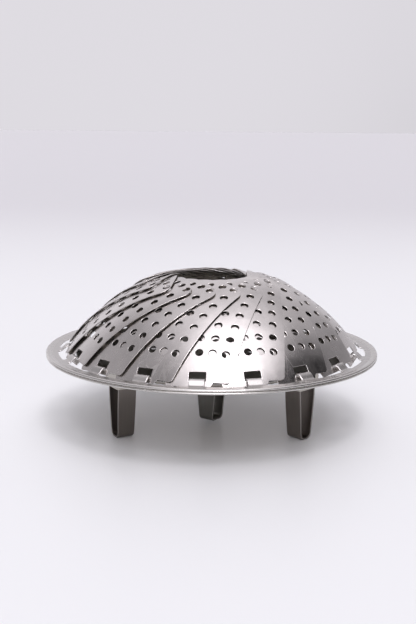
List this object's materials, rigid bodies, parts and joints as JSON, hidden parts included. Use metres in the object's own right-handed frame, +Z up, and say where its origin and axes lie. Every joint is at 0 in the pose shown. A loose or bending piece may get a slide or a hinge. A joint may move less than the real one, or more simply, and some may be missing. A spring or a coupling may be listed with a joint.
{
  "type": "food steamer",
  "caption": "Collapsible steamer basket with overlapping perforated petals hinged round a shallow dish, closed to a dome and standing on folding legs.",
  "frame": {"origin": "On the table under the middle of the basket, level with the undersides of the standing legs' feet.", "axes": "+Z up along the basket's axis, -Y the front as seen in the picture, +X to the right."},
  "size_m": [0.18, 0.18, 0.084],
  "materials": {
    "petal_steel": "satin stainless sheet",
    "rim_steel": "satin stainless, rolled edge polished",
    "dish_steel": "satin stainless sheet",
    "leg_steel": "satin stainless strip",
    "pin_steel": "drawn stainless wire, headed"
  },
  "bodies": {
    "frame": {"rim_ring": "rim_steel", "base_dish": "dish_steel", "leg_bracket_1": "dish_steel", "leg_bracket_2": "dish_steel", "leg_bracket_3": "dish_steel", "leg_pin_1": "pin_steel", "leg_pin_2": "pin_steel", "leg_pin_3": "pin_steel"},
    "petal_01": {"petal_01": "petal_steel"},
    "petal_02": {"petal_02": "petal_steel"},
    "petal_03": {"petal_03": "petal_steel"},
    "petal_04": {"petal_04": "petal_steel"},
    "petal_05": {"petal_05": "petal_steel"},
    "petal_06": {"petal_06": "petal_steel"},
    "petal_07": {"petal_07": "petal_steel"},
    "petal_08": {"petal_08": "petal_steel"},
    "petal_09": {"petal_09": "petal_steel"},
    "petal_10": {"petal_10": "petal_steel"},
    "petal_11": {"petal_11": "petal_steel"},
    "petal_12": {"petal_12": "petal_steel"},
    "petal_13": {"petal_13": "petal_steel"},
    "petal_14": {"petal_14": "petal_steel"},
    "petal_15": {"petal_15": "petal_steel"},
    "petal_16": {"petal_16": "petal_steel"},
    "petal_17": {"petal_17": "petal_steel"},
    "petal_18": {"petal_18": "petal_steel"},
    "leg_1": {"leg_1": "leg_steel"},
    "leg_2": {"leg_2": "leg_steel"},
    "leg_3": {"leg_3": "leg_steel"},
    "lift_loop": {"lift_loop": "leg_steel"}
  },
  "joints": [
    {"name": "petal_01_hinge", "type": "hinge", "parent": "frame", "child": "petal_01", "pos_m": [-0.00683, -0.0781, 0.0425], "axis": [0.9962, -0.0872, 0], "range_deg": [0, 118]},
    {"name": "petal_02_hinge", "type": "hinge", "parent": "frame", "child": "petal_02", "pos_m": [0.02029, -0.07573, 0.0425], "axis": [0.9659, 0.2588, 0], "range_deg": [0, 118]},
    {"name": "petal_03_hinge", "type": "hinge", "parent": "frame", "child": "petal_03", "pos_m": [0.04497, -0.06422, 0.0425], "axis": [0.8192, 0.5736, 0], "range_deg": [0, 118]},
    {"name": "petal_04_hinge", "type": "hinge", "parent": "frame", "child": "petal_04", "pos_m": [0.06422, -0.04497, 0.0425], "axis": [0.5736, 0.8192, 0], "range_deg": [0, 118]},
    {"name": "petal_05_hinge", "type": "hinge", "parent": "frame", "child": "petal_05", "pos_m": [0.07573, -0.02029, 0.0425], "axis": [0.2588, 0.9659, 0], "range_deg": [0, 118]},
    {"name": "petal_06_hinge", "type": "hinge", "parent": "frame", "child": "petal_06", "pos_m": [0.0781, 0.00683, 0.0425], "axis": [-0.0872, 0.9962, 0], "range_deg": [0, 118]},
    {"name": "petal_07_hinge", "type": "hinge", "parent": "frame", "child": "petal_07", "pos_m": [0.07105, 0.03313, 0.0425], "axis": [-0.4226, 0.9063, 0], "range_deg": [0, 118]},
    {"name": "petal_08_hinge", "type": "hinge", "parent": "frame", "child": "petal_08", "pos_m": [0.05544, 0.05544, 0.0425], "axis": [-0.7071, 0.7071, 0], "range_deg": [0, 118]},
    {"name": "petal_09_hinge", "type": "hinge", "parent": "frame", "child": "petal_09", "pos_m": [0.03313, 0.07105, 0.0425], "axis": [-0.9063, 0.4226, 0], "range_deg": [0, 118]},
    {"name": "petal_10_hinge", "type": "hinge", "parent": "frame", "child": "petal_10", "pos_m": [0.00683, 0.0781, 0.0425], "axis": [-0.9962, 0.0872, 0], "range_deg": [0, 118]},
    {"name": "petal_11_hinge", "type": "hinge", "parent": "frame", "child": "petal_11", "pos_m": [-0.02029, 0.07573, 0.0425], "axis": [-0.9659, -0.2588, 0], "range_deg": [0, 118]},
    {"name": "petal_12_hinge", "type": "hinge", "parent": "frame", "child": "petal_12", "pos_m": [-0.04497, 0.06422, 0.0425], "axis": [-0.8192, -0.5736, 0], "range_deg": [0, 118]},
    {"name": "petal_13_hinge", "type": "hinge", "parent": "frame", "child": "petal_13", "pos_m": [-0.06422, 0.04497, 0.0425], "axis": [-0.5736, -0.8192, 0], "range_deg": [0, 118]},
    {"name": "petal_14_hinge", "type": "hinge", "parent": "frame", "child": "petal_14", "pos_m": [-0.07573, 0.02029, 0.0425], "axis": [-0.2588, -0.9659, 0], "range_deg": [0, 118]},
    {"name": "petal_15_hinge", "type": "hinge", "parent": "frame", "child": "petal_15", "pos_m": [-0.0781, -0.00683, 0.0425], "axis": [0.0872, -0.9962, 0], "range_deg": [0, 118]},
    {"name": "petal_16_hinge", "type": "hinge", "parent": "frame", "child": "petal_16", "pos_m": [-0.07105, -0.03313, 0.0425], "axis": [0.4226, -0.9063, 0], "range_deg": [0, 118]},
    {"name": "petal_17_hinge", "type": "hinge", "parent": "frame", "child": "petal_17", "pos_m": [-0.05544, -0.05544, 0.0425], "axis": [0.7071, -0.7071, 0], "range_deg": [0, 118]},
    {"name": "petal_18_hinge", "type": "hinge", "parent": "frame", "child": "petal_18", "pos_m": [-0.03313, -0.07105, 0.0425], "axis": [0.9063, -0.4226, 0], "range_deg": [0, 118]},
    {"name": "leg_1_fold", "type": "hinge", "parent": "frame", "child": "leg_1", "pos_m": [0.04677, -0.027, 0.031], "axis": [0.7009, 0.7133, 0], "range_deg": [0, 90]},
    {"name": "leg_2_fold", "type": "hinge", "parent": "frame", "child": "leg_2", "pos_m": [0, 0.054, 0.031], "axis": [-1, 0, 0], "range_deg": [0, 90]},
    {"name": "leg_3_fold", "type": "hinge", "parent": "frame", "child": "leg_3", "pos_m": [-0.04677, -0.027, 0.031], "axis": [0.5, -0.866, 0], "range_deg": [0, 90]},
    {"name": "loop_lift", "type": "slide", "parent": "frame", "child": "lift_loop", "axis": [0, 0, 1], "range_m": [0, 0.033]}
  ],
  "couplings": [
    {"joint": "petal_02_hinge", "follows": "petal_01_hinge", "ratio": 1},
    {"joint": "petal_03_hinge", "follows": "petal_01_hinge", "ratio": 1},
    {"joint": "petal_04_hinge", "follows": "petal_01_hinge", "ratio": 1},
    {"joint": "petal_05_hinge", "follows": "petal_01_hinge", "ratio": 1},
    {"joint": "petal_06_hinge", "follows": "petal_01_hinge", "ratio": 1},
    {"joint": "petal_07_hinge", "follows": "petal_01_hinge", "ratio": 1},
    {"joint": "petal_08_hinge", "follows": "petal_01_hinge", "ratio": 1},
    {"joint": "petal_09_hinge", "follows": "petal_01_hinge", "ratio": 1},
    {"joint": "petal_10_hinge", "follows": "petal_01_hinge", "ratio": 1},
    {"joint": "petal_11_hinge", "follows": "petal_01_hinge", "ratio": 1},
    {"joint": "petal_12_hinge", "follows": "petal_01_hinge", "ratio": 1},
    {"joint": "petal_13_hinge", "follows": "petal_01_hinge", "ratio": 1},
    {"joint": "petal_14_hinge", "follows": "petal_01_hinge", "ratio": 1},
    {"joint": "petal_15_hinge", "follows": "petal_01_hinge", "ratio": 1},
    {"joint": "petal_16_hinge", "follows": "petal_01_hinge", "ratio": 1},
    {"joint": "petal_17_hinge", "follows": "petal_01_hinge", "ratio": 1},
    {"joint": "petal_18_hinge", "follows": "petal_01_hinge", "ratio": 1}
  ]
}
